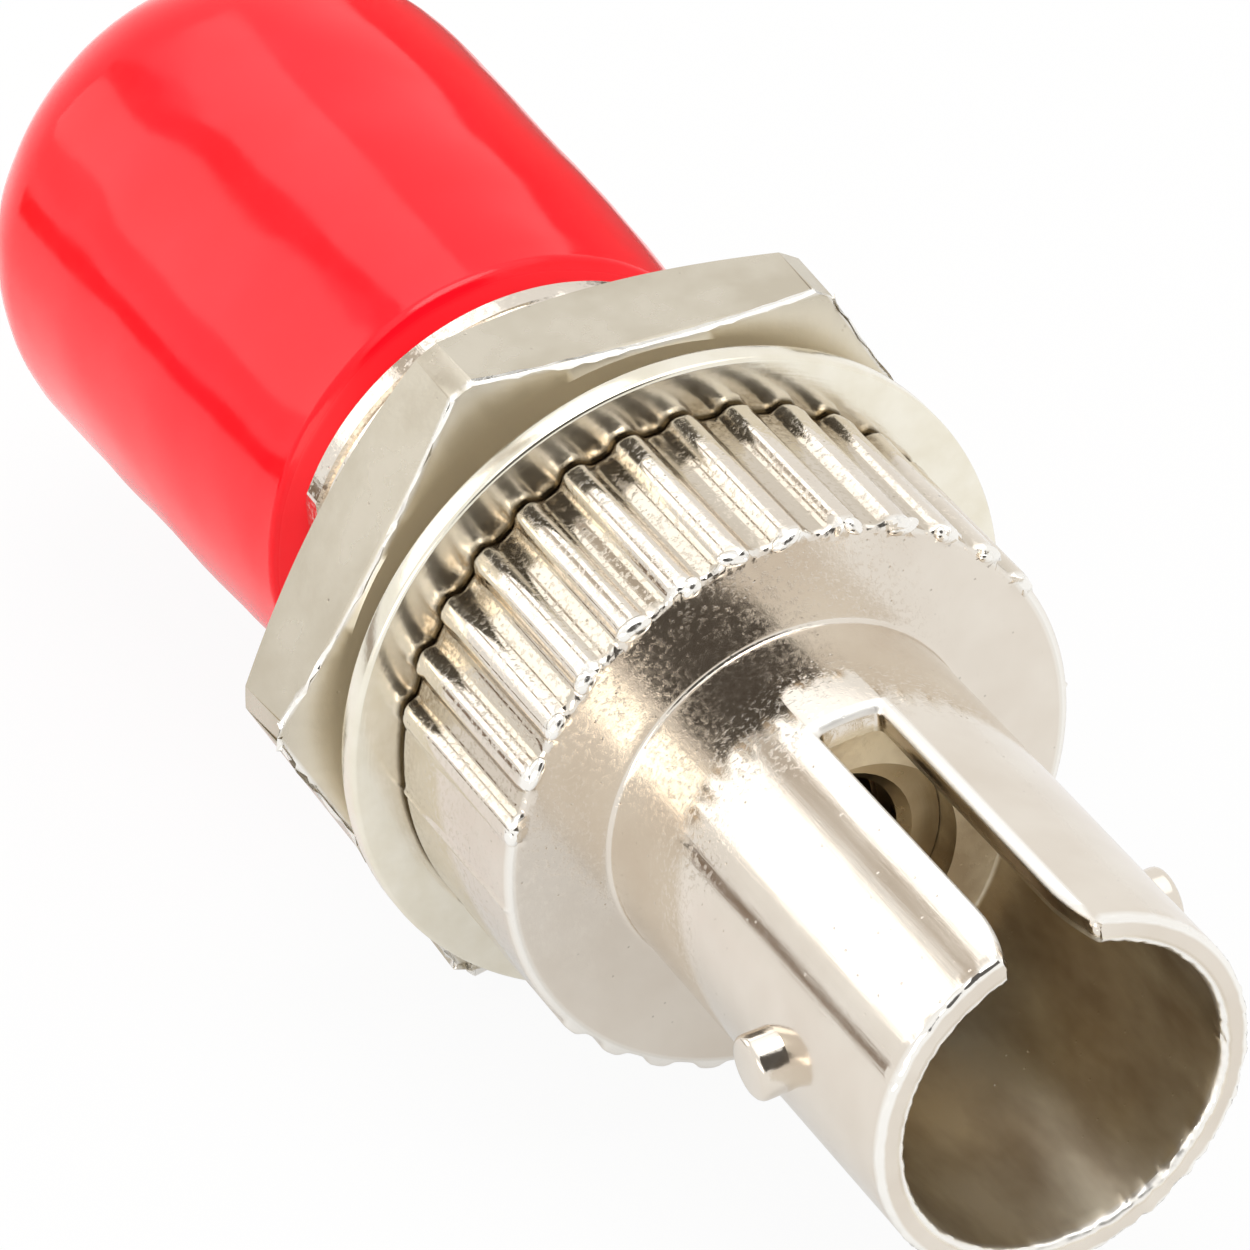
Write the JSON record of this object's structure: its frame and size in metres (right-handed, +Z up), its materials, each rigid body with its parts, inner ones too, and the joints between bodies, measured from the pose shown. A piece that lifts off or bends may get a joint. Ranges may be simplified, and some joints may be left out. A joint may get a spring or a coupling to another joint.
{
  "type": "simplex fibre coupler",
  "caption": "Panel-mount fibre coupler with a keyed bayonet barrel at each end, a knurled flange, a threaded shank with washer and hex nut, and a soft push-on dust cap.",
  "frame": {"origin": "on the coupler's axis, in the flange's rear face, where a panel seats", "axes": "+Y along the axis from the open front mouth to the capped rear end, +Z up with the nut lying on a flat; the keyway is on top and leans 6.6 degrees towards -X"},
  "size_m": [0.0144, 0.035, 0.013],
  "materials": {
    "cast_nickel": "satin nickel plating on a casting",
    "rear_nickel": "satin nickel plating on a casting",
    "holder_brass": "dull turned brass",
    "sleeve_bronze": "rolled phosphor bronze",
    "washer_nickel": "bright nickel plating",
    "nut_nickel": "satin nickel plating",
    "cap_vinyl": "glossy dipped vinyl"
  },
  "bodies": {
    "coupler": {"body": "cast_nickel", "rear_barrel": "rear_nickel", "sleeve_holder": "holder_brass", "alignment_sleeve": "sleeve_bronze"},
    "washer": {"washer": "washer_nickel"},
    "nut": {"hex_nut": "nut_nickel"},
    "cap": {"dust_cap": "cap_vinyl"}
  },
  "joints": [
    {"name": "nut_turn", "type": "hinge", "parent": "coupler", "child": "washer", "pos_m": [0, 0, 0], "axis": [0, 1, 0], "range_deg": [-335, 1220]},
    {"name": "nut_advance", "type": "slide", "parent": "washer", "child": "nut", "axis": [0, 1, 0], "range_m": [-0.00073, 0.00268]},
    {"name": "cap_slide", "type": "slide", "parent": "coupler", "child": "cap", "axis": [0, 1, 0], "range_m": [0, 0.03]}
  ],
  "couplings": [
    {"joint": "nut_turn", "follows": "nut_advance", "rad_per_m": 7915.8}
  ]
}
